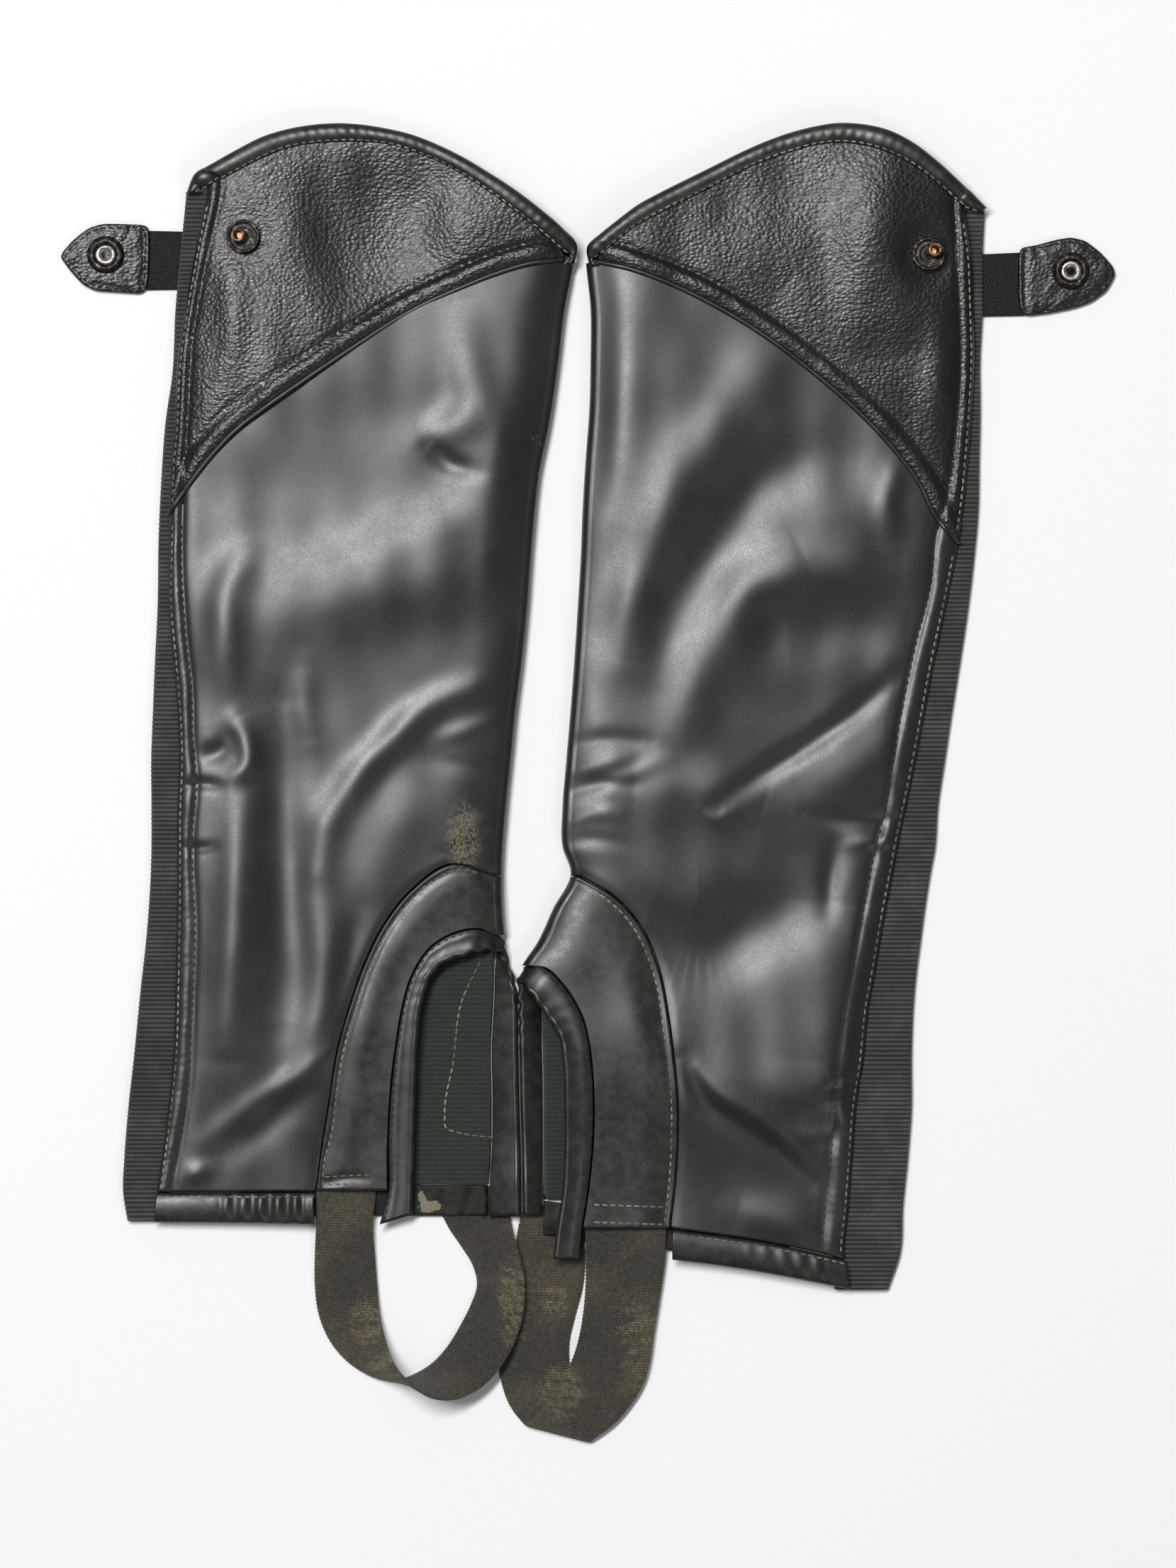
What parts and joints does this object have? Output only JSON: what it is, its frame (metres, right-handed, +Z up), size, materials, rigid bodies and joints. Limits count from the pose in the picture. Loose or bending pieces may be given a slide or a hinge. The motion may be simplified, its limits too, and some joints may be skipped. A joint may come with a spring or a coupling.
{
  "type": "half chaps",
  "caption": "Pair of short riding gaiters in smooth and pebbled leather, laid flat and overlapping, with elastic sides, arched foot openings, under-boot straps and snap tabs",
  "frame": {"origin": "on the supporting surface, under the middle of the pair's bounding box", "axes": "+X to the right and +Y towards the tops of the legs, both in the supporting surface, +Z up from it"},
  "size_m": [0.424, 0.5295, 0.0185],
  "materials": {
    "smooth_leather": "worn, softly glossy, fine crackle grain",
    "pebbled_leather": "glossy, pebbled grain",
    "ribbed_elastic": "ribbed elastic",
    "strap_webbing": "dusty elastic webbing",
    "knit": "ribbed knit",
    "zip_tape": "woven tape",
    "dark_metal": "dark, rubbed through at the rims",
    "copper": "coppery, tarnished"
  },
  "bodies": {
    "root": {"left_leg_panel": "smooth_leather", "left_top_panel": "pebbled_leather", "left_top_panel_under": "pebbled_leather", "left_piping": "smooth_leather", "left_top_binding": "smooth_leather", "left_top_binding_under": "smooth_leather", "left_elastic": "ribbed_elastic", "left_zip_strip": "zip_tape", "left_zip_slider": "dark_metal", "left_guard": "smooth_leather", "left_arch_binding": "smooth_leather", "left_hem": "smooth_leather", "left_hem_under": "smooth_leather", "left_lining": "knit", "left_stirrup_strap": "strap_webbing", "left_stud_washer": "dark_metal", "left_stud_post": "copper", "left_tab_webbing": "ribbed_elastic", "left_tab": "pebbled_leather", "left_socket_ring": "dark_metal", "right_leg_panel": "smooth_leather", "right_top_panel": "pebbled_leather", "right_top_panel_under": "pebbled_leather", "right_piping": "smooth_leather", "right_top_binding": "smooth_leather", "right_top_binding_under": "smooth_leather", "right_elastic": "ribbed_elastic", "right_zip_strip": "zip_tape", "right_zip_slider": "dark_metal", "right_guard": "smooth_leather", "right_arch_binding": "smooth_leather", "right_hem": "smooth_leather", "right_hem_under": "smooth_leather", "right_lining": "knit", "right_stirrup_strap": "strap_webbing", "right_stud_washer": "dark_metal", "right_stud_post": "copper", "right_tab_webbing": "ribbed_elastic", "right_tab": "pebbled_leather", "right_socket_ring": "dark_metal"}
  },
  "joints": []
}
